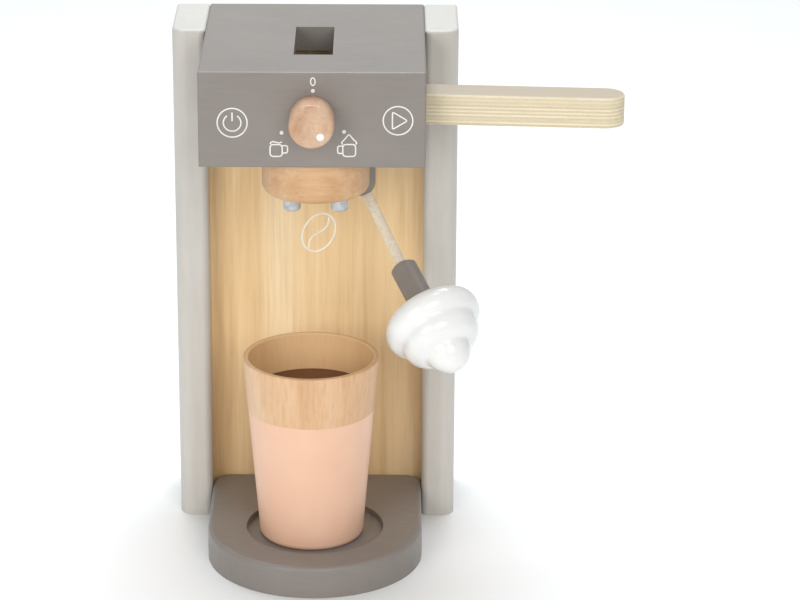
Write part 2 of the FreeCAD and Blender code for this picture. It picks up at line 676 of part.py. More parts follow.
inside = "cup_rim_radius - cup_wall - coffee_gap - %s * coffee_below_rim" % slope
add(coffee, "AdditiveCone", "coffee_turning",
    {"Radius1": "%s - %s * coffee_thickness" % (inside, slope), "Radius2": inside,
     "Height": "coffee_thickness"},
    ("cup_x", "recess_centre", cup_base + " + cup_height - coffee_below_rim - coffee_thickness"))

doc.recompute()
nodes = ["left_side_panel", "right_side_panel", "back_board", "base_plate", "head_top_board",
         "head_front_board", "head_left_board", "head_right_board", "head_floor_board",
         "head_dowels", "front_dowels", "top_dowels", "plate_screws", "knob", "knob_pointer",
         "knob_axle", "knob_washer", "group_disc", "group_spindle", "lever_spacer", "lever",
         "spout_left", "spout_right", "cord_holder", "frother_cord", "nozzle",
         "nozzle_magnet", "foam_magnet", "foam_swirl", "cup", "coffee_disc"]
for item in doc.Objects:
    if {"Invalid", "Error"} & set(item.State):
        raise RuntimeError("%s failed: %s" % (item.Name, item.State))
os.makedirs("parts", exist_ok=True)
for name in nodes:
    shape = doc.getObject(name).Shape
    if shape.isNull() or not shape.isValid():
        raise RuntimeError(name + " has no valid shape")
    shape.exportStep("parts/%s.step" % name)
    box = shape.BoundBox
    print("%-18s solids %d volume %8.0f  x %.1f..%.1f  y %.1f..%.1f  z %.1f..%.1f" % (
        name, len(shape.Solids), shape.Volume, box.XMin, box.XMax, box.YMin, box.YMax,
        box.ZMin, box.ZMax))
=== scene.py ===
import math

import bpy
import bmesh
from mathutils import Matrix, Vector


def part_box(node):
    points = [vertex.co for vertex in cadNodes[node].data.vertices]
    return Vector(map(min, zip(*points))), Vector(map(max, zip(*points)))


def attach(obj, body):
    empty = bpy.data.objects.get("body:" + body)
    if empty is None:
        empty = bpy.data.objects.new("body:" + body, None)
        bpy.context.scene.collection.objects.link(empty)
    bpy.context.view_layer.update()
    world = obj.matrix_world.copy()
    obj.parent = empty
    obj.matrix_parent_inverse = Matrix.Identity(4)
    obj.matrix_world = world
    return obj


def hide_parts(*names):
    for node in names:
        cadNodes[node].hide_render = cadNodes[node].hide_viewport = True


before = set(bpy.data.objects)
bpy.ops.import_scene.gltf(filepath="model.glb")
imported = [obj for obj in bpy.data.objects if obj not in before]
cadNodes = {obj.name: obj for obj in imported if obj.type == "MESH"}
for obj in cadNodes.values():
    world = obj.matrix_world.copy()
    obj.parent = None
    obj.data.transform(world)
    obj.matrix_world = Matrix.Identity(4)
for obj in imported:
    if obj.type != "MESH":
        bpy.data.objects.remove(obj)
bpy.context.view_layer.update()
print("frame loaded:", len(cadNodes), "parts")


# Camera: it looks a little down at the front, from slightly right of the middle.

cameraLook = {
    "place": (0.0344, -1.4444, 0.6756),
    "down": 20.185,  # degrees below the horizon
    "turn": -0.285,
    "lean": 0.308,
    "lens": 145.28,
    "sensor": 36.0,
}


def setCamera():
    data = bpy.data.cameras.new("studioCamera")
    data.lens = cameraLook["lens"]
    data.sensor_width = cameraLook["sensor"]
    data.clip_start = 0.05
    data.clip_end = 20
    camera = bpy.data.objects.new("studioCamera", data)
    turn = Matrix.Rotation(math.radians(cameraLook["turn"]), 4, "Z")
    tilt = Matrix.Rotation(math.radians(90 - cameraLook["down"]), 4, "X")
    lean = Matrix.Rotation(math.radians(cameraLook["lean"]), 4, "Z")
    camera.matrix_world = Matrix.Translation(cameraLook["place"]) @ turn @ tilt @ lean
    bpy.context.scene.collection.objects.link(camera)
    bpy.context.scene.camera = camera


setCamera()
print("camera set")

millimetre = 0.001


# Helpers for node trees and for turning finished things into plain meshes.

def addNode(tree, kind, spot, props=None, **values):
    node = tree.nodes.new(kind)
    node.location = (spot[0] * 200, spot[1] * -200)
    for key, value in (props or {}).items():
        setattr(node, key, value)
    for key, value in values.items():
        node.inputs[key.replace("_", " ")].default_value = value
    return node


def addMath(tree, spot, operation, first, second=None, third=None):  # numbers or sockets
    node = addNode(tree, "ShaderNodeMath", spot, {"operation": operation})
    for socket, value in zip(node.inputs, (first, second, third)):
        if value is None:
            continue
        if isinstance(value, (int, float)):
            socket.default_value = value
        else:
            tree.links.new(value, socket)
    return node.outputs[0]


def rampColour(tree, spot, factor, stops):
    node = addNode(tree, "ShaderNodeValToRGB", spot)
    band = node.color_ramp.elements
    while len(band) < len(stops):
        band.new(0.5)
    for element, (place, colour) in zip(band, stops):
        element.position = place
        element.color = (*colour, 1)
    tree.links.new(factor, node.inputs["Fac"])
    return node.outputs["Color"]


def blendColour(tree, spot, factor, first, second, mode="MIX"):
    node = addNode(tree, "ShaderNodeMix", spot, {"data_type": "RGBA", "blend_type": mode})
    for socket, value in ((node.inputs[0], factor), (node.inputs[6], first), (node.inputs[7], second)):
        if isinstance(value, (int, float)):
            socket.default_value = value
        elif isinstance(value, tuple):
            socket.default_value = (*value, 1)
        else:
            tree.links.new(value, socket)
    return node.outputs[2]


def rangeOf(tree, spot, value, low, high, source=(0, 1)):
    node = addNode(tree, "ShaderNodeMapRange", spot, None, From_Min=source[0], From_Max=source[1],
                   To_Min=low, To_Max=high)
    tree.links.new(value, node.inputs["Value"])
    return node.outputs["Result"]


def noiseOn(tree, spot, vector, scale, detail=2.0, roughness=0.5, distortion=0.0):
    node = addNode(tree, "ShaderNodeTexNoise", spot, None, Scale=scale, Detail=detail,
                   Roughness=roughness, Distortion=distortion)
    tree.links.new(vector, node.inputs["Vector"])
    return node.outputs["Fac"]


def objectCoords(tree, spot=(-9, 0), scale=(1, 1, 1), turn=(0, 0, 0), shift=(0, 0, 0)):
    coords = addNode(tree, "ShaderNodeTexCoord", spot)
    mapping = addNode(tree, "ShaderNodeMapping", (spot[0] + 1, spot[1]), {"vector_type": "POINT"})
    mapping.inputs["Location"].default_value = shift
    mapping.inputs["Rotation"].default_value = turn
    mapping.inputs["Scale"].default_value = scale
    tree.links.new(coords.outputs["Object"], mapping.inputs["Vector"])
    return mapping.outputs["Vector"]


def bumpInto(tree, shader, spot, height, distance, strength=1.0, under=None):
    node = addNode(tree, "ShaderNodeBump", spot, None, Distance=distance, Strength=strength)
    tree.links.new(height, node.inputs["Height"])
    if under:
        tree.links.new(under, node.inputs["Normal"])
    tree.links.new(node.outputs["Normal"], shader.inputs["Normal"])
    return node.outputs["Normal"]


def newMaterial(name, **sockets):
    material = bpy.data.materials.new(name)
    material.use_nodes = True
    tree = material.node_tree
    shader = tree.nodes["Principled BSDF"]
    shader.location = (600, 0)
    tree.nodes["Material Output"].location = (900, 0)
    for key, value in sockets.items():
        shader.inputs[key.replace("_", " ")].default_value = value
    return material, tree, shader


def plainMesh(source, name):  # bakes a curve or modifiers, and drops the source
    graph = bpy.context.evaluated_depsgraph_get()
    mesh = bpy.data.meshes.new_from_object(source.evaluated_get(graph))
    mesh.name = name
    mesh.transform(source.matrix_world)
    piece = bpy.data.objects.new(name, mesh)
    bpy.context.scene.collection.objects.link(piece)
    bpy.data.objects.remove(source)
    return piece


def finishCad(material, *names):
    for name in names:
        for slot in cadNodes[name].material_slots:
            slot.material = material


# The frother's cord: a smooth curve through the same points as the solid tube,
# measured from the centre of the holder's round end, then braided with yarns.

cordLook = {
    "route": [(0.0023, -0.0007, -0.0046), (0.0072, -0.0023, -0.0147), (0.0122, -0.0063, -0.0242),
              (0.0171, -0.0124, -0.0327), (0.0216, -0.0205, -0.0387)],
    "diameter": 0.0054,
    "yarns": 10,  # each way round
    "pitch": 0.0150,
    "yarnRadius": 0.00046,
    "weave": 0.00019,  # how far a yarn rises and dips
    "step": 0.00028,
    "yarnSides": 7,
    "coreSides": 20,
    "fibreStretch": (5, 900, 1),
    "fibreScale": 3.0,
    "fibreDepth": 0.00006,
    "patchScale": 420,
    "cotton": [(0.760, 0.660, 0.520), (0.950, 0.880, 0.760)],  # between the fibres, and on them
}


def routePoints():
    low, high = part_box("cord_holder")
    reach = (high.x - low.x) / 2
    centre = Vector(((low.x + high.x) / 2, (low.y + high.y) / 2, low.z + reach))
    return [centre + Vector(offset) for offset in cordLook["route"]]


def cordLine():
    points = routePoints()
    curve = bpy.data.curves.new("frotherCordLine", "CURVE")
    curve.dimensions = "3D"
    spline = curve.splines.new("NURBS")
    spline.points.add(len(points) - 1)
    for point, place in zip(spline.points, points):
        point.co = (*place, 1)
    spline.order_u = 3
    spline.use_endpoint_u = True
    spline.resolution_u = 24
    line = bpy.data.objects.new("frotherCordLine", curve)
    bpy.context.scene.collection.objects.link(line)
    return line


def linePoints(line):
    bpy.context.view_layer.update()
    graph = bpy.context.evaluated_depsgraph_get()
    mesh = bpy.data.meshes.new_from_object(line.evaluated_get(graph))
    points = [vertex.co.copy() for vertex in mesh.vertices]
    bpy.data.meshes.remove(mesh)
    return points


def geometryTree(name, inputs):
    tree = bpy.data.node_groups.new(name, "GeometryNodeTree")
    tree.interface.new_socket("Geometry", in_out="INPUT", socket_type="NodeSocketGeometry")
    tree.interface.new_socket("Geometry", in_out="OUTPUT", socket_type="NodeSocketGeometry")
    for label, kind in inputs:
        tree.interface.new_socket(label, in_out="INPUT", socket_type="NodeSocket" + kind)
    source = addNode(tree, "NodeGroupInput", (-10, 0))
    target = addNode(tree, "NodeGroupOutput", (12, 0))
    return tree, source, target


def runTree(piece, tree, values):
    modifier = piece.modifiers.new(tree.name, "NODES")
    modifier.node_group = tree
    sockets = {item.name: item.identifier for item in tree.interface.items_tree
               if item.in_out == "INPUT"}
    for label, value in values.items():
        modifier[sockets[label]] = value


def braidTree():
    tree, source, target = geometryTree("braidedSleeve", [
        ("Yarns", "Int"), ("Pitch", "Float"), ("Yarn Radius", "Float"), ("Cord Radius", "Float"),
        ("Weave", "Float"), ("Step", "Float"), ("Cotton", "Material")])
    link = tree.links.new
    given = source.outputs
    fine = addNode(tree, "GeometryNodeResampleCurve", (-8, 0), {"mode": "LENGTH"})
    link(given["Geometry"], fine.inputs["Curve"])
    link(given["Step"], fine.inputs["Length"])
    yarnLane = addMath(tree, (-8, 3), "SUBTRACT", given["Cord Radius"], given["Yarn Radius"])
    yarnLane = addMath(tree, (-7, 3), "SUBTRACT", yarnLane, given["Weave"])
    join = addNode(tree, "GeometryNodeJoinGeometry", (8, 0))
    profile = addNode(tree, "GeometryNodeCurvePrimitiveCircle", (-8, 6), {"mode": "RADIUS"},
                      Resolution=cordLook["yarnSides"])
    link(given["Yarn Radius"], profile.inputs["Radius"])
    for way, row in ((1, 0), (-1, -6)):
        count = addNode(tree, "GeometryNodeMeshLine", (-7, row))
        count.inputs["Offset"].default_value = (0, 0, 0)
        link(given["Yarns"], count.inputs["Count"])
        index = addNode(tree, "GeometryNodeInputIndex", (-7, row - 1))
        keep = addNode(tree, "GeometryNodeCaptureAttribute", (-6, row))
        keep.capture_items.new("INT", "Yarn")
        link(count.outputs["Mesh"], keep.inputs["Geometry"])
        link(index.outputs["Index"], keep.inputs["Yarn"])
        lay = addNode(tree, "GeometryNodeInstanceOnPoints", (-5, row))
        link(keep.outputs["Geometry"], lay.inputs["Points"])
        link(fine.outputs["Curve"], lay.inputs["Instance"])
        real = addNode(tree, "GeometryNodeRealizeInstances", (-4, row))
        link(lay.outputs["Instances"], real.inputs["Geometry"])
        along = addNode(tree, "GeometryNodeSplineParameter", (-5, row - 2))
        startTurn = addMath(tree, (-4, row - 1), "DIVIDE", keep.outputs["Yarn"], given["Yarns"])
        runTurn = addMath(tree, (-4, row - 2), "DIVIDE", along.outputs["Length"], given["Pitch"])
        turns = addMath(tree, (-3, row - 1), "MULTIPLY_ADD", runTurn, float(way), startTurn)
        angle = addMath(tree, (-2, row - 1), "MULTIPLY", turns, math.tau)
        crossings = addMath(tree, (-3, row - 2), "MULTIPLY", runTurn, given["Yarns"])
        phase = addMath(tree, (-2, row - 2), "MULTIPLY", crossings, math.tau)
        rise = addMath(tree, (-1, row - 2), "COSINE", phase)
        rise = addMath(tree, (0, row - 2), "MULTIPLY", rise, float(way))
        radius = addMath(tree, (1, row - 2), "MULTIPLY_ADD", rise, given["Weave"], yarnLane)
        normal = addNode(tree, "GeometryNodeInputNormal", (-3, row - 3))
        tangent = addNode(tree, "GeometryNodeInputTangent", (-3, row - 4))
        side = addNode(tree, "ShaderNodeVectorMath", (-2, row - 4), {"operation": "CROSS_PRODUCT"})
        link(tangent.outputs["Tangent"], side.inputs[0])
        link(normal.outputs["Normal"], side.inputs[1])
        parts = []
        for wave, direction, place in (("COSINE", normal.outputs["Normal"], -3),
                                       ("SINE", side.outputs[0], -4)):
            share = addMath(tree, (0, row + place), wave, angle)
            share = addMath(tree, (1, row + place), "MULTIPLY", share, radius)
            scaled = addNode(tree, "ShaderNodeVectorMath", (2, row + place), {"operation": "SCALE"})
            link(direction, scaled.inputs[0])
            link(share, scaled.inputs["Scale"])
            parts.append(scaled)
        offset = addNode(tree, "ShaderNodeVectorMath", (3, row - 3), {"operation": "ADD"})
        for socket, scaled in zip(offset.inputs, parts):
            link(scaled.outputs[0], socket)
        move = addNode(tree, "GeometryNodeSetPosition", (4, row))
        link(real.outputs["Geometry"], move.inputs["Geometry"])
        link(offset.outputs[0], move.inputs["Offset"])
        mark = addNode(tree, "GeometryNodeCaptureAttribute", (5, row))
        mark.capture_items.new("FLOAT", "Along")
        link(move.outputs["Geometry"], mark.inputs["Geometry"])
        link(along.outputs["Length"], mark.inputs["Along"])
        around = addNode(tree, "GeometryNodeSplineParameter", (-7, 5 + row))
        rim = addNode(tree, "GeometryNodeCaptureAttribute", (-6, 5 + row))
        rim.capture_items.new("FLOAT", "Around")
        link(profile.outputs["Curve"], rim.inputs["Geometry"])
        link(around.outputs["Factor"], rim.inputs["Around"])
        tube = addNode(tree, "GeometryNodeCurveToMesh", (6, row))
        tube.inputs["Fill Caps"].default_value = True
        link(mark.outputs["Geometry"], tube.inputs["Curve"])
        link(rim.outputs["Geometry"], tube.inputs["Profile Curve"])
        place = addNode(tree, "ShaderNodeCombineXYZ", (6, row - 1))
        link(rim.outputs["Around"], place.inputs["X"])
        link(mark.outputs["Along"], place.inputs["Y"])
        store = addNode(tree, "GeometryNodeStoreNamedAttribute", (7, row),
                        {"data_type": "FLOAT2", "domain": "CORNER"}, Name="yarnMap")
        link(tube.outputs["Mesh"], store.inputs["Geometry"])
        link(place.outputs[0], store.inputs["Value"])
        link(store.outputs["Geometry"], join.inputs[0])
    coreProfile = addNode(tree, "GeometryNodeCurvePrimitiveCircle", (6, 6), {"mode": "RADIUS"},
                          Resolution=cordLook["coreSides"])
    link(yarnLane, coreProfile.inputs["Radius"])
    core = addNode(tree, "GeometryNodeCurveToMesh", (7, 6))
    core.inputs["Fill Caps"].default_value = True
    link(fine.outputs["Curve"], core.inputs["Curve"])
    link(coreProfile.outputs["Curve"], core.inputs["Profile Curve"])
    link(core.outputs["Mesh"], join.inputs[0])
    smooth = addNode(tree, "GeometryNodeSetShadeSmooth", (9, 0))
    link(join.outputs["Geometry"], smooth.inputs["Geometry"])
    plain = addNode(tree, "GeometryNodeRealizeInstances", (10, 0))
    link(smooth.outputs["Geometry"], plain.inputs["Geometry"])
    paint = addNode(tree, "GeometryNodeSetMaterial", (11, 0))
    link(plain.outputs["Geometry"], paint.inputs["Geometry"])
    link(given["Cotton"], paint.inputs["Material"])
    link(paint.outputs["Geometry"], target.inputs["Geometry"])
    return tree


def cottonYarn():
    material, tree, shader = newMaterial("creamCottonYarn", Roughness=0.92, Sheen_Weight=0.35,
                                         Sheen_Roughness=0.45, Specular_IOR_Level=0.25)
    uvPlace = addNode(tree, "ShaderNodeUVMap", (-9, 0), {"uv_map": "yarnMap"})
    scaled = addNode(tree, "ShaderNodeMapping", (-8, 0))
    scaled.inputs["Scale"].default_value = cordLook["fibreStretch"]
    tree.links.new(uvPlace.outputs["UV"], scaled.inputs["Vector"])
    fibres = noiseOn(tree, (-6, 0), scaled.outputs["Vector"], cordLook["fibreScale"], 3, 0.6)
    patches = noiseOn(tree, (-6, -2), objectCoords(tree, (-9, -2)), cordLook["patchScale"], 3, 0.6)
    deep, pale = cordLook["cotton"]
    colour = rampColour(tree, (-4, 0), fibres, [(0.25, deep), (0.75, pale)])
    tone = rampColour(tree, (-4, -2), patches, [(0.3, (0.86, 0.83, 0.78)), (0.7, (1, 1, 1))])
    tree.links.new(blendColour(tree, (-2, 0), 1.0, colour, tone, "MULTIPLY"),
                   shader.inputs["Base Color"])
    bumpInto(tree, shader, (-2, -3), fibres, cordLook["fibreDepth"], 0.8)
    return material


def braidedCord():
    line = cordLine()
    points = linePoints(line)
    runTree(line, braidTree(), {
        "Yarns": cordLook["yarns"], "Pitch": cordLook["pitch"], "Yarn Radius": cordLook["yarnRadius"],
        "Cord Radius": cordLook["diameter"] / 2, "Weave": cordLook["weave"],
        "Step": cordLook["step"], "Cotton": cottonYarn()})
    bpy.context.view_layer.update()
    braid = plainMesh(line, "frotherCordBraid")
    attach(braid, "frame")
    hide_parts("frother_cord")


braidedCord()


# Painted wood: satin paint with a faint spray texture over closed grain.

paintLook = {
    "panel": {"base": (0.580, 0.556, 0.515), "rough": 0.46, "grain": (60, 60, 7)},
    "head": {"base": (0.250, 0.224, 0.204), "rough": 0.40, "grain": (8, 60, 60)},
    "frother": {"base": (0.240, 0.212, 0.188), "rough": 0.42, "grain": (60, 60, 60)},
    "toneSpread": 0.05,
    "sprayScale": 900,
    "sprayDepth": 0.000035,
    "grainDepth": 0.00006,
    "grainScale": 6,
    "cloudScale": 16,
    "dustScale": 240,
}


def satinPaint(name, look):
    material, tree, shader = newMaterial(name, Specular_IOR_Level=0.42, Coat_Weight=0.06,
                                         Coat_Roughness=0.25)
    coords = objectCoords(tree, (-9, 0))
    grained = objectCoords(tree, (-9, -3), look["grain"])
    clouds = noiseOn(tree, (-6, 0), coords, paintLook["cloudScale"], 3, 0.55)
    spray = noiseOn(tree, (-6, -1), coords, paintLook["sprayScale"], 2, 0.6)
    grain = noiseOn(tree, (-6, -3), grained, paintLook["grainScale"], 5, 0.62, 0.4)
    dust = noiseOn(tree, (-6, -4), coords, paintLook["dustScale"], 4, 0.7)
    spread = paintLook["toneSpread"]
    deep = tuple(value * (1 - spread) for value in look["base"])
    pale = tuple(min(1, value * (1 + spread)) for value in look["base"])
    tone = rampColour(tree, (-3, 0), clouds, [(0.3, deep), (0.7, pale)])
    shade = rampColour(tree, (-3, -3), grain, [(0.3, (0.955, 0.95, 0.94)), (0.62, (1, 1, 1))])
    tree.links.new(blendColour(tree, (-1, 0), 1.0, tone, shade, "MULTIPLY"),
                   shader.inputs["Base Color"])
    gloss = rangeOf(tree, (-3, -4), dust, look["rough"] - 0.06, look["rough"] + 0.07, (0.3, 0.7))
    tree.links.new(gloss, shader.inputs["Roughness"])
    relief = bumpInto(tree, shader, (-1, -3), grain, paintLook["grainDepth"], 0.5)
    bumpInto(tree, shader, (1, -3), spray, paintLook["sprayDepth"], 0.6, relief)
    return material


panelPaint = satinPaint("warmGreyPaint", paintLook["panel"])
headPaint = satinPaint("taupePaint", paintLook["head"])
frotherPaint = satinPaint("frotherPaint", paintLook["frother"])
finishCad(panelPaint, "left_side_panel", "right_side_panel")
finishCad(headPaint, "base_plate", "head_top_board", "head_front_board", "head_left_board",
          "head_right_board", "head_floor_board")
finishCad(frotherPaint, "cord_holder", "nozzle")
print("boards painted")


# Bare wood: growth rings, fibres and pores, all from one recipe with its own sizes.

woodLook = {
    "board": {"dark": (0.760, 0.500, 0.235), "mid": (0.900, 0.665, 0.375),
              "light": (0.980, 0.800, 0.530),
              "stretch": (1, 1, 0.045), "figure": 22, "fibre": 330, "fleck": 0.06, "rough": 0.44},
    "beech": {"dark": (0.560, 0.290, 0.140), "mid": (0.700, 0.420, 0.235),
              "light": (0.800, 0.545, 0.345),
              "stretch": (1, 1, 0.09), "figure": 34, "fibre": 480, "fleck": 0.34, "rough": 0.42},
    "crossBeech": {"dark": (0.490, 0.255, 0.115), "mid": (0.620, 0.375, 0.195),
                   "light": (0.710, 0.485, 0.290),
                   "stretch": (0.09, 1, 1), "figure": 34, "fibre": 480, "fleck": 0.40, "rough": 0.42},
    "knobBeech": {"dark": (0.470, 0.260, 0.150), "mid": (0.600, 0.395, 0.265),
                  "light": (0.690, 0.500, 0.360),
                  "stretch": (1, 0.12, 1), "figure": 40, "fibre": 520, "fleck": 0.30, "rough": 0.40},
    "relief": 0.00007,
}


def woodTone(tree, look, row=0):
    coords = objectCoords(tree, (-12, row), look["stretch"])
    figure = noiseOn(tree, (-9, row), coords, look["figure"], 3, 0.55, 0.9)
    patch = noiseOn(tree, (-9, row - 1), coords, look["figure"] * 3.1, 3, 0.6, 0.4)
    fibre = noiseOn(tree, (-9, row - 2), coords, look["fibre"], 4, 0.7)
    pores = addNode(tree, "ShaderNodeTexVoronoi", (-9, row - 3), {"feature": "F1"},
                    Scale=look["fibre"] * 1.6)
    tree.links.new(coords, pores.inputs["Vector"])
    rings = addMath(tree, (-7, row), "MULTIPLY_ADD", patch, 0.45, figure)
    base = rampColour(tree, (-5, row), addMath(tree, (-6, row), "MULTIPLY", rings, 0.69),
                      [(0.34, look["dark"]), (0.5, look["mid"]), (0.68, look["light"])])
    threads = rampColour(tree, (-5, row - 2), fibre, [(0.32, (0.86, 0.82, 0.76)), (0.56, (1, 1, 1))])
    colour = blendColour(tree, (-3, row), 0.75, base, threads, "MULTIPLY")
    dash = rangeOf(tree, (-7, row - 3), pores.outputs["Distance"], 1.0, 0.0, (0.16, 0.30))
    picked = rangeOf(tree, (-7, row - 4), patch, 0.0, look["fleck"], (0.42, 0.62))
    flecks = addMath(tree, (-5, row - 4), "MULTIPLY", dash, picked)
    colour = blendColour(tree, (-2, row), flecks, colour, tuple(v * 0.72 for v in look["dark"]))
    height = addMath(tree, (-3, row - 3), "MULTIPLY_ADD", flecks, -0.8, fibre)
    return colour, height


def bareWood(name, look):
    material, tree, shader = newMaterial(name, Specular_IOR_Level=0.40, Coat_Weight=0.10,
                                         Coat_Roughness=0.35)
    colour, height = woodTone(tree, look)
    tree.links.new(colour, shader.inputs["Base Color"])
    gloss = rangeOf(tree, (0, -2), height, look["rough"] + 0.10, look["rough"] - 0.05, (0.2, 0.8))
    tree.links.new(gloss, shader.inputs["Roughness"])
    bumpInto(tree, shader, (0, -3), height, woodLook["relief"], 0.55)
    return material


boardWood = bareWood("paleBoardWood", woodLook["board"])
beech = bareWood("turnedBeech", woodLook["beech"])
crossBeech = bareWood("crossGrainBeech", woodLook["crossBeech"])
knobBeech = bareWood("knobBeech", woodLook["knobBeech"])
finishCad(boardWood, "back_board")
finishCad(crossBeech, "group_disc", "head_dowels", "lever_spacer", "knob_washer")
finishCad(knobBeech, "knob", "knob_axle", "front_dowels")
finishCad(beech, "group_spindle", "top_dowels")
print("bare wood grained")


# Plywood lever: thin layers, every other one showing end grain at its edge.

plyLook = {
    "layers": 17,
    "glue": 0.10,  # share of a layer that its glue line takes
    "glueShow": 0.25,
    "face": (0.480, 0.405, 0.310),
    "longGrain": (0.780, 0.690, 0.500),
    "endGrain": (0.690, 0.585, 0.400),
    "glueTone": (0.560, 0.440, 0.270),
    "turn": 4.0,  # degrees that the lever points forward at rest
    "wave": 0.0005,
    "threadScale": 520,
    "endScale": 1300,
    "shadeScale": 30,
    "relief": 0.00006,
}


def plywood():
    material, tree, shader = newMaterial("birchPlywood", Specular_IOR_Level=0.38, Coat_Weight=0.08,
                                         Coat_Roughness=0.4)
    low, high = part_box("lever")
    turn = (0, 0, math.radians(plyLook["turn"]))
    straight = objectCoords(tree, (-12, 0), turn=turn)
    long = objectCoords(tree, (-12, -3), (0.05, 1, 1), turn)
    split = addNode(tree, "ShaderNodeSeparateXYZ", (-10, 0))
    tree.links.new(straight, split.inputs["Vector"])
    wave = noiseOn(tree, (-10, -1), long, 60, 2)
    level = addMath(tree, (-9, 0), "SUBTRACT", split.outputs["Z"], low.z)
    level = addMath(tree, (-8, 0), "MULTIPLY_ADD", wave, plyLook["wave"], level)
    level = addMath(tree, (-7, 0), "MULTIPLY", level, plyLook["layers"] / (high.z - low.z))
    share = addMath(tree, (-6, 0), "FRACT", level)
    number = addMath(tree, (-6, -1), "FLOOR", level)
    odd = addMath(tree, (-5, -1), "FLOORED_MODULO", number, 2.0)
    threads = noiseOn(tree, (-9, -4), long, plyLook["threadScale"], 4, 0.65)
    ends = noiseOn(tree, (-9, -5), straight, plyLook["endScale"], 3, 0.7)
    shades = noiseOn(tree, (-9, -6), long, plyLook["shadeScale"], 2, 0.5, 0.5)
    tinted = addNode(tree, "ShaderNodeTexWhiteNoise", (-5, -2), {"noise_dimensions": "1D"})
    tree.links.new(number, tinted.inputs["W"])
    longTone = rampColour(tree, (-6, -4), threads, [
        (0.3, tuple(v * 0.86 for v in plyLook["longGrain"])), (0.6, plyLook["longGrain"])])
    endTone = rampColour(tree, (-6, -5), ends, [
        (0.3, tuple(v * 0.80 for v in plyLook["endGrain"])), (0.62, plyLook["endGrain"])])
    layer = blendColour(tree, (-4, -3), odd, longTone, endTone)
    tint = rangeOf(tree, (-4, -2), tinted.outputs["Value"], 0.90, 1.06)
    tintColour = addNode(tree, "ShaderNodeCombineColor", (-3, -2))
    for socket in tintColour.inputs[:3]:
        tree.links.new(tint, socket)
    layer = blendColour(tree, (-2, -3), 1.0, layer, tintColour.outputs["Color"], "MULTIPLY")
    edge = addMath(tree, (-5, 0), "COMPARE", share, 0.0, plyLook["glue"])
    line = addMath(tree, (-2, 0), "MULTIPLY", edge, plyLook["glueShow"])
    layer = blendColour(tree, (-1, -2), line, layer, plyLook["glueTone"])
    faceTone = rampColour(tree, (-4, -6), addMath(tree, (-5, -6), "MULTIPLY_ADD", threads, 0.4, shades),
                          [(0.45, tuple(v * 0.87 for v in plyLook["face"])), (0.85, plyLook["face"])])
    facing = addNode(tree, "ShaderNodeNewGeometry", (-4, 2))
    normal = addNode(tree, "ShaderNodeSeparateXYZ", (-3, 2))
    tree.links.new(facing.outputs["Normal"], normal.inputs["Vector"])
    upright = addMath(tree, (-3, 1), "ABSOLUTE", normal.outputs["Z"])
    flat = addMath(tree, (-2, 2), "GREATER_THAN", upright, 0.9)
    colour = blendColour(tree, (0, 0), flat, layer, faceTone)
    tree.links.new(colour, shader.inputs["Base Color"])
    gloss = rangeOf(tree, (0, -2), threads, 0.58, 0.42, (0.25, 0.75))
    tree.links.new(gloss, shader.inputs["Roughness"])
    relief = addMath(tree, (0, -4), "MULTIPLY_ADD", edge, -0.6, threads)
    bumpInto(tree, shader, (1, -4), relief, plyLook["relief"], 0.6)
    return material


finishCad(plywood(), "lever")
print("lever layered")


# Cup: turned beech, its outside dipped in pink paint up to a level line.

cupLook = {
    "paintTop": 0.0802,  # above the table
    "pink": (0.855, 0.555, 0.395),
    "pinkDeep": (0.810, 0.500, 0.345),
    "lineBlur": 0.00012,
    "paintStep": 0.00018,
    "wood": {"dark": (0.640, 0.380, 0.205), "mid": (0.730, 0.470, 0.275),
             "light": (0.800, 0.560, 0.365),
             "stretch": (1, 1, 0.11), "figure": 30, "fibre": 620, "fleck": 0.26, "rough": 0.44},
    "inside": (0.930, 0.630, 0.310),  # painted light: the inside is made lighter to stand in for light reaching into the cup
    "insideShare": 0.55,
    "footRadius": 0.0254,
    "wallStep": 0.0013,  # how far in from the outer face the paint reaches
    "footRise": 0.0031,
    "lineWave": 0.0005,
    "cloudScale": 30,
    "sprayScale": 950,
    "relief": 0.00007,
}


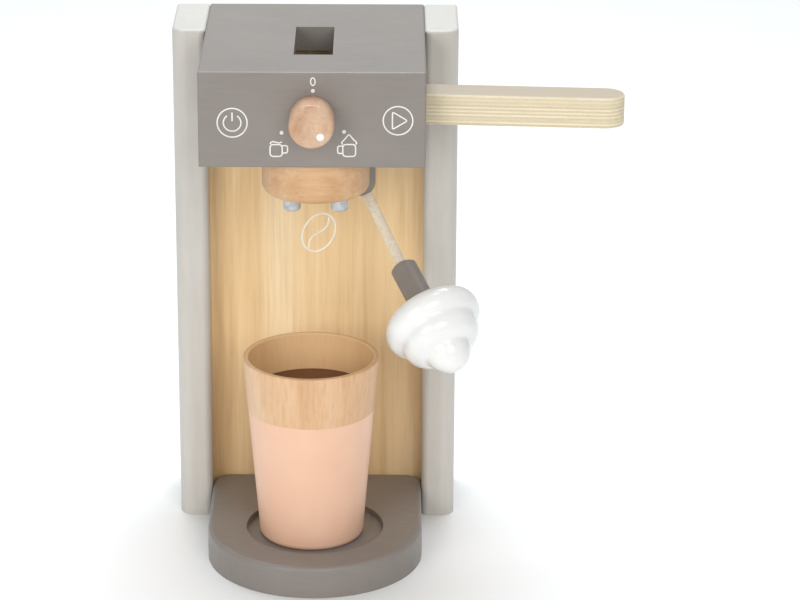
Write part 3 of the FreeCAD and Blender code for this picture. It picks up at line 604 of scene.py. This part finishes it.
def cupFinish():
    material, tree, shader = newMaterial("dippedCup", Specular_IOR_Level=0.42, Coat_Weight=0.08,
                                         Coat_Roughness=0.3)
    low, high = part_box("cup")
    middle = (low + high) / 2
    footRadius = cupLook["footRadius"] - cupLook["wallStep"]
    rimRadius = (high.x - low.x) / 2 - cupLook["wallStep"]
    colour, height = woodTone(tree, cupLook["wood"])
    coords = objectCoords(tree, (-12, 6), shift=(-middle.x, -middle.y, 0))
    split = addNode(tree, "ShaderNodeSeparateXYZ", (-10, 6))
    tree.links.new(coords, split.inputs["Vector"])
    flatPlace = addNode(tree, "ShaderNodeCombineXYZ", (-9, 6))
    tree.links.new(split.outputs["X"], flatPlace.inputs["X"])
    tree.links.new(split.outputs["Y"], flatPlace.inputs["Y"])
    distance = addNode(tree, "ShaderNodeVectorMath", (-8, 6), {"operation": "LENGTH"})
    tree.links.new(flatPlace.outputs["Vector"], distance.inputs[0])
    wall = rangeOf(tree, (-8, 7), split.outputs["Z"], footRadius, rimRadius, (low.z, high.z))
    outside = addMath(tree, (-6, 6), "GREATER_THAN", distance.outputs["Value"], wall)
    foot = addMath(tree, (-6, 7), "LESS_THAN", split.outputs["Z"], low.z + cupLook["footRise"])
    painted = addMath(tree, (-5, 6), "MAXIMUM", outside, foot)
    # painted light: the bare inside is blended toward a lighter tone to stand in for light falling into
    # the cup
    paintedLightMask = addMath(tree, (-4, 7), "MULTIPLY", addMath(tree, (-5, 7), "SUBTRACT", 1.0, painted),
                     cupLook["insideShare"])
    colour = blendColour(tree, (-1, 4), paintedLightMask, colour, cupLook["inside"])
    ripple = noiseOn(tree, (-8, 5), coords, 90, 2)
    level = addMath(tree, (-7, 5), "MULTIPLY_ADD", ripple, cupLook["lineWave"], split.outputs["Z"])
    blur = cupLook["lineBlur"]
    below = rangeOf(tree, (-5, 5), level, 1.0, 0.0,
                    (cupLook["paintTop"] - blur, cupLook["paintTop"] + blur))
    mask = addMath(tree, (-4, 6), "MULTIPLY", painted, below)
    clouds = noiseOn(tree, (-6, 8), coords, cupLook["cloudScale"], 3, 0.55)
    spray = noiseOn(tree, (-6, 9), coords, cupLook["sprayScale"], 2, 0.6)
    pink = rampColour(tree, (-4, 8), clouds, [(0.3, cupLook["pinkDeep"]), (0.7, cupLook["pink"])])
    tree.links.new(blendColour(tree, (0, 4), mask, colour, pink), shader.inputs["Base Color"])
    woodGloss = rangeOf(tree, (-1, 2), height, 0.52, 0.42)
    gloss = addMath(tree, (0, 2), "MULTIPLY_ADD", mask, -0.06, woodGloss)
    tree.links.new(gloss, shader.inputs["Roughness"])
    bareness = addMath(tree, (-2, 5), "MULTIPLY_ADD", mask, -0.75, 1.0)
    grain = addMath(tree, (-1, 5), "MULTIPLY", height, bareness)
    relief = bumpInto(tree, shader, (1, 3), grain, cupLook["relief"], 0.5)
    coat = addMath(tree, (0, 6), "MULTIPLY_ADD", spray, 0.12, mask)
    bumpInto(tree, shader, (2, 3), coat, cupLook["paintStep"], 0.5, relief)
    return material


finishCad(cupFinish(), "cup")


# Coffee disc: wood stained dark brown, with the grain still showing.

coffeeLook = {
    "stain": {"dark": (0.115, 0.045, 0.018), "mid": (0.170, 0.068, 0.028),
              "light": (0.220, 0.095, 0.042),
              "stretch": (0.12, 1, 1), "figure": 60, "fibre": 520, "fleck": 0.20, "rough": 0.50},
}
finishCad(bareWood("coffeeStain", coffeeLook["stain"]), "coffee_disc")
print("cup and coffee finished")


# White gloss lacquer of the foam swirl and of the knob's dot.

lacquerLook = {
    "white": (0.845, 0.845, 0.830),
    "shade": (0.800, 0.802, 0.792),
    "rough": 0.20,
    "waves": 95,
    "waveDepth": 0.00022,
    "cloudScale": 38,
    "speckScale": 620,
    "speckDepth": 0.00002,
}


def whiteLacquer():
    material, tree, shader = newMaterial("whiteGlossLacquer", Specular_IOR_Level=0.5, Coat_Weight=0.35,
                                         Coat_Roughness=0.10)
    coords = objectCoords(tree)
    clouds = noiseOn(tree, (-6, 0), coords, lacquerLook["cloudScale"], 3, 0.5)
    waves = noiseOn(tree, (-6, -2), coords, lacquerLook["waves"], 2, 0.4)
    specks = noiseOn(tree, (-6, -3), coords, lacquerLook["speckScale"], 3, 0.6)
    tone = rampColour(tree, (-3, 0), clouds, [(0.3, lacquerLook["shade"]), (0.6, lacquerLook["white"])])
    tree.links.new(tone, shader.inputs["Base Color"])
    rough = lacquerLook["rough"]
    gloss = rangeOf(tree, (-3, -3), specks, rough - 0.04, rough + 0.08, (0.3, 0.7))
    tree.links.new(gloss, shader.inputs["Roughness"])
    relief = bumpInto(tree, shader, (-1, -2), waves, lacquerLook["waveDepth"], 0.35)
    bumpInto(tree, shader, (1, -2), specks, lacquerLook["speckDepth"], 0.4, relief)
    return material


lacquer = whiteLacquer()
finishCad(lacquer, "foam_swirl", "knob_pointer")


# Foam swirl: turned on one axis with the nozzle, its tiers running softly into each other.

swirlLook = {
    "start": 26.3,  # millimetres along the nozzle, from its cord end
    "socket": [(0, 9.3), (4.1, 9.3), (4.1, 6.0), (6.9, 6.0), (6.9, 0)],
    "backEdge": (14.0, 0),
    "tiers": [(24.2, 7.4, 19.4, 14.2), (18.8, 19.2, 11.2, 25.0)],  # widest place, then the waist
    "tip": (26.2, 9.6),  # level of the ball's centre, and its radius
    "tipLean": 0.8,  # radians from the axis, for a middle point of the ball's arc
    "softAngle": 40,  # degrees up to which neighbouring faces are shaded as one
    "spacing": 0.35,
    "softRounds": 26,
    "turns": 128,
}


def arcThrough(start, middle, end, spacing):
    (ax, az), (bx, bz), (cx, cz) = start, middle, end
    cross = 2 * (ax * (bz - cz) + bx * (cz - az) + cx * (az - bz))
    squares = [x * x + z * z for x, z in (start, middle, end)]
    x = (squares[0] * (bz - cz) + squares[1] * (cz - az) + squares[2] * (az - bz)) / cross
    z = (squares[0] * (cx - bx) + squares[1] * (ax - cx) + squares[2] * (bx - ax)) / cross
    radius = math.hypot(ax - x, az - z)
    first, last = math.atan2(az - z, ax - x), math.atan2(cz - z, cx - x)
    count = max(4, round(radius * abs(last - first) / spacing))
    return [(x + radius * math.cos(first + (last - first) * step / count),
             z + radius * math.sin(first + (last - first) * step / count)) for step in range(count + 1)]


def swirlOutline():
    look = swirlLook
    path = [look["backEdge"]]
    for wide, level, waist, waistLevel in look["tiers"]:
        path += arcThrough(path[-1], (wide, level), (waist, waistLevel), look["spacing"])[1:]
    centre, ball = look["tip"]
    lean = look["tipLean"]
    path += arcThrough(path[-1], (ball * math.sin(lean), centre + ball * math.cos(lean)),
                       (0, centre + ball), look["spacing"])[1:]
    for turn in range(look["softRounds"]):  # each one rounds the waists a little more
        path = [path[0]] + [((a[0] + 2 * b[0] + c[0]) / 4, (a[1] + 2 * b[1] + c[1]) / 4)
                            for a, b, c in zip(path, path[1:], path[2:])] + [path[-1]]
        path[-1] = (0, (path[-1][1] + path[-2][1]) / 2)
    return look["socket"] + path


def foamSwirl():
    points = routePoints()
    along = (points[-1] - points[-2]).normalized()
    outline = swirlOutline()
    shape = bmesh.new()
    verts = [shape.verts.new((radius, 0, level)) for radius, level in outline]
    edges = [shape.edges.new(pair) for pair in zip(verts, verts[1:])]
    bmesh.ops.spin(shape, geom=verts + edges, axis=(0, 0, 1), cent=(0, 0, 0), angle=math.tau,
                   steps=swirlLook["turns"])
    bmesh.ops.remove_doubles(shape, verts=shape.verts, dist=0.001)
    bmesh.ops.recalc_face_normals(shape, faces=shape.faces)
    mesh = bpy.data.meshes.new("foamSwirl")
    shape.to_mesh(mesh)
    shape.free()
    mesh.transform(Matrix.Scale(millimetre, 4))
    mesh.transform(along.to_track_quat("Z", "Y").to_matrix().to_4x4())
    mesh.transform(Matrix.Translation(points[-1] + along * swirlLook["start"] * millimetre))
    mesh.materials.append(lacquer)
    swirl = bpy.data.objects.new("foamSwirl", mesh)
    bpy.context.scene.collection.objects.link(swirl)
    mesh.shade_smooth()
    mesh.set_sharp_from_angle(angle=math.radians(swirlLook["softAngle"]))
    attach(swirl, "foam")
    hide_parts("foam_swirl")
    print("swirl turned:", len(mesh.polygons), "faces")


foamSwirl()


# Metal: silver-painted spouts, and zinc for the screws and magnets.

metalLook = {
    "spout": {"base": (0.560, 0.585, 0.610), "deep": (0.400, 0.420, 0.445), "metal": 0.55,
              "rough": 0.36, "scale": 310, "depth": 0.00012},
    "zinc": {"base": (0.610, 0.605, 0.600), "deep": (0.450, 0.448, 0.450), "metal": 1.0,
             "rough": 0.34, "scale": 700, "depth": 0.00004},
}


def metalFinish(name, look):
    material, tree, shader = newMaterial(name, Metallic=look["metal"])
    coords = objectCoords(tree)
    mottle = noiseOn(tree, (-6, 0), coords, look["scale"], 4, 0.6)
    drawn = objectCoords(tree, (-9, -2), (1, 1, 0.1))
    scratches = noiseOn(tree, (-6, -2), drawn, look["scale"] * 3, 3, 0.6)
    tree.links.new(rampColour(tree, (-3, 0), mottle, [(0.35, look["deep"]), (0.6, look["base"])]),
                   shader.inputs["Base Color"])
    gloss = rangeOf(tree, (-3, -2), scratches, look["rough"] - 0.07, look["rough"] + 0.12, (0.3, 0.7))
    tree.links.new(gloss, shader.inputs["Roughness"])
    bumpInto(tree, shader, (-1, -2), mottle, look["depth"], 0.5)
    return material


finishCad(metalFinish("silverPaint", metalLook["spout"]), "spout_left", "spout_right")
zinc = metalFinish("zincPlate", metalLook["zinc"])
finishCad(zinc, "plate_screws", "nozzle_magnet", "foam_magnet")
print("lacquer and metal finished")


# Printed marks: thin raised ink on the head's front, placed from the knob's axis.

markLook = {
    "stroke": 0.00034,  # half the line's width
    "proud": 0.00005,
    "ink": (0.800, 0.800, 0.775),
    "dots": [(0.5, 12.9), (-14.2, -7.5), (15.0, -6.9)],
    "dotRadius": 0.95,
    "dotSegments": 24,
    "meshScale": 1500,
    "meshDepth": 0.00002,
    "patchScale": 120,
    "wear": 0.88,
    "zero": (0.5, 17.4),
    "power": (-37.3, -2.7),
    "play": (40.2, -1.4),
    "plainMug": (-15.6, -15.4),
    "foamMug": (16.2, -13.8),
}


def arcPath(centre, radius, start, end, steps=40):
    wide, tall = radius if isinstance(radius, tuple) else (radius, radius)
    path = []
    for step in range(steps + 1):
        angle = math.radians(start + (end - start) * step / steps)
        path.append((centre[0] + wide * math.cos(angle), centre[1] + tall * math.sin(angle)))
    return path


def roundedPath(corners, radius, closed=False, steps=5):
    path = []
    count = len(corners)
    for number, corner in enumerate(corners):
        if not closed and number in (0, count - 1):
            path.append(corner)
            continue
        here = Vector(corner)
        sides = [Vector(corners[(number + way) % count]) - here for way in (-1, 1)]
        start, end = [here + side.normalized() * min(radius, side.length / 2) for side in sides]
        for step in range(steps + 1):
            share = step / steps
            point = start * (1 - share) ** 2 + here * 2 * share * (1 - share) + end * share ** 2
            path.append(tuple(point))
    return path


def moved(path, place):
    return [(x + place[0], z + place[1]) for x, z in path]


def powerSign():
    return [(arcPath((0, 0), 7.0, 0, 360, 64)[:-1], True),
            (arcPath((0, 0), 4.1, 55, -235), False),
            ([(0, 5.0), (0, 0.8)], False)]


def playSign():
    return [(arcPath((0, 0), 6.9, 0, 360, 64)[:-1], True),
            (roundedPath([(-2.6, 4.3), (-2.6, -4.3), (4.5, 0)], 1.0, True), True)]


def mugBody(left, right, top, bottom, handle):
    body = roundedPath([(left, top), (left, bottom), (right, bottom), (right, top)], 1.7, True)
    side, reach, high, low = handle
    loop = roundedPath([(side, high), (side + reach, high), (side + reach, low), (side, low)], 1.0)
    return [(body, True), (loop, False)]


def plainMug():
    wave = [(-4.0, 2.3), (-3.6, 3.2), (-2.6, 3.6), (-1.2, 3.2), (0.2, 2.9), (1.5, 3.4)]
    return mugBody(-4.1, 1.6, 2.1, -3.7, (1.6, 2.5, 1.6, -2.0)) + [(wave, False)]


def foamMug():
    heap = roundedPath([(-1.8, 0.7), (-2.6, 1.5), (-0.9, 3.2), (1.1, 5.8), (3.1, 3.2), (4.9, 1.5),
                        (4.2, 0.7)], 0.9)
    return mugBody(-1.8, 4.2, 0.7, -5.2, (-1.8, -2.4, -0.1, -3.7)) + [(heap, False)]


def inkObject(name, strokes, radius):
    curve = bpy.data.curves.new(name + "Lines", "CURVE")
    curve.dimensions = "3D"
    curve.bevel_depth = radius / millimetre
    curve.bevel_resolution = 3
    curve.use_fill_caps = True
    for path, closed in strokes:
        spline = curve.splines.new("POLY")
        spline.points.add(len(path) - 1)
        for point, (x, z) in zip(spline.points, path):
            point.co = (x, 0, z, 1)
        spline.use_cyclic_u = closed
    lines = bpy.data.objects.new(name + "Lines", curve)
    bpy.context.scene.collection.objects.link(lines)
    bpy.context.view_layer.update()
    return plainMesh(lines, name)


def addDots(mesh, places, radius):
    shape = bmesh.new()
    shape.from_mesh(mesh)
    for x, z in places:
        bmesh.ops.create_uvsphere(shape, u_segments=markLook["dotSegments"], v_segments=8,
                                  radius=radius, matrix=Matrix.Translation((x, 0, z)))
    shape.to_mesh(mesh)
    shape.free()


def pressInk(piece, origin, radius, proud):
    piece.data.transform(Matrix.Diagonal((millimetre, proud / radius, millimetre, 1)))
    piece.data.transform(Matrix.Translation(origin))
    for face in piece.data.polygons:
        face.use_smooth = True


def screenInk(name, colour):
    material, tree, shader = newMaterial(name, Specular_IOR_Level=0.35)
    coords = objectCoords(tree)
    mesh = noiseOn(tree, (-6, 0), coords, markLook["meshScale"], 2, 0.6)
    patch = noiseOn(tree, (-6, -1), coords, markLook["patchScale"], 3, 0.6)
    worn = tuple(value * markLook["wear"] for value in colour)
    tone = rampColour(tree, (-3, 0), patch, [(0.32, worn), (0.55, colour)])
    tree.links.new(tone, shader.inputs["Base Color"])
    tree.links.new(rangeOf(tree, (-3, -1), mesh, 0.42, 0.60, (0.3, 0.7)), shader.inputs["Roughness"])
    bumpInto(tree, shader, (-1, -2), mesh, markLook["meshDepth"], 0.5)
    return material


def headMarks():
    strokes = [(arcPath(markLook["zero"], (1.05, 1.85), 0, 360, 32)[:-1], True)]
    for sign in ("power", "play", "plainMug", "foamMug"):
        maker = {"power": powerSign, "play": playSign, "plainMug": plainMug, "foamMug": foamMug}[sign]
        strokes += [(moved(path, markLook[sign]), closed) for path, closed in maker()]
    marks = inkObject("headMarks", strokes, markLook["stroke"])
    addDots(marks.data, markLook["dots"], markLook["dotRadius"])
    knobLow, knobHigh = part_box("knob")
    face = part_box("head_front_board")[0].y
    axis = Vector(((knobLow.x + knobHigh.x) / 2, face, (knobLow.z + knobHigh.z) / 2))
    pressInk(marks, axis, markLook["stroke"] / millimetre, markLook["proud"])
    marks.data.materials.clear()
    marks.data.materials.append(screenInk("whitePrint", markLook["ink"]))
    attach(marks, "frame")
    return marks


headMarks()


# A plain coffee bean printed on the back board.

beanLook = {
    "place": (0.0010, 0.1475),  # across and up
    "half": (7.6, 10.6),
    "creaseSwing": 0.27,  # share of the half width
    "creaseSteps": 24,
    "tilt": -28.0,
    "stroke": 0.00046,
    "proud": 0.00005,
    "ink": (0.960, 0.900, 0.800),
}


def beanMark():
    wide, tall = beanLook["half"]
    tilt = math.radians(beanLook["tilt"])
    outline = arcPath((0, 0), (wide, tall), 0, 360, 56)[:-1]
    count = beanLook["creaseSteps"]
    crease = [(wide * beanLook["creaseSwing"] * math.sin(math.tau * step / count),
               tall * (1 - 2 * step / count)) for step in range(1, count)]
    strokes = []
    for path, closed in ((outline, True), (crease, False)):
        leaned = [(x * math.cos(tilt) - z * math.sin(tilt), x * math.sin(tilt) + z * math.cos(tilt))
                  for x, z in path]
        strokes.append((leaned, closed))
    bean = inkObject("beanMark", strokes, beanLook["stroke"])
    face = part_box("back_board")[0].y
    origin = Vector((beanLook["place"][0], face, beanLook["place"][1]))
    pressInk(bean, origin, beanLook["stroke"] / millimetre, beanLook["proud"])
    bean.data.materials.clear()
    bean.data.materials.append(screenInk("creamPrint", beanLook["ink"]))
    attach(bean, "frame")
    return bean


beanMark()
print("marks printed")


# Studio: pale floor, three soft lights and a pale surround.

studioLook = {
    "floorTone": (0.90, 0.90, 0.895),
    "floorReach": 6.0,
    "world": (1.0, 1.0, 1.0),
    "worldStrength": 0.46,
    "lights": {  # place, size, power and colour of each
        "overhead": ((0.0, 0.65, 1.60), 1.3, 25.0, (0.88, 0.95, 1.0)),
        "leftSoft": ((-0.9, -1.6, 0.75), 1.0, 11.0, (1.0, 0.99, 0.97)),
        "rightSoft": ((0.5, -1.6, 0.95), 1.0, 10.0, (1.0, 0.99, 0.97)),
    },
    "aim": (0.0, 0.03, 0.12),
}


def studioFloor():
    reach = studioLook["floorReach"]
    shape = bmesh.new()
    bmesh.ops.create_circle(shape, cap_ends=True, segments=96, radius=reach)
    mesh = bpy.data.meshes.new("studioFloor")
    shape.to_mesh(mesh)
    shape.free()
    floor = bpy.data.objects.new("studioFloor", mesh)
    bpy.context.scene.collection.objects.link(floor)
    material, tree, shader = newMaterial("paleFloor", Roughness=0.8, Specular_IOR_Level=0.2)
    soft = noiseOn(tree, (-4, 0), objectCoords(tree), 3, 3)
    tone = studioLook["floorTone"]
    tree.links.new(rampColour(tree, (-2, 0), soft, [(0.3, tuple(v * 0.99 for v in tone)), (0.7, tone)]),
                   shader.inputs["Base Color"])
    mesh.materials.append(material)


def studioLights():
    for name, (place, size, power, colour) in studioLook["lights"].items():
        data = bpy.data.lights.new(name, "AREA")
        data.shape = "DISK"
        data.size = size
        data.energy = power
        data.color = colour
        light = bpy.data.objects.new(name, data)
        light.location = place
        aim = Vector(studioLook["aim"]) - Vector(place)
        light.rotation_euler = aim.to_track_quat("-Z", "Y").to_euler()
        bpy.context.scene.collection.objects.link(light)
    world = bpy.data.worlds.new("studioWorld")
    world.use_nodes = True
    surround = world.node_tree.nodes["Background"]
    surround.inputs["Color"].default_value = (*studioLook["world"], 1)
    surround.inputs["Strength"].default_value = studioLook["worldStrength"]
    bpy.context.scene.world = world
    bpy.context.scene.view_settings.view_transform = "Standard"


studioFloor()
studioLights()
print("studio lit")
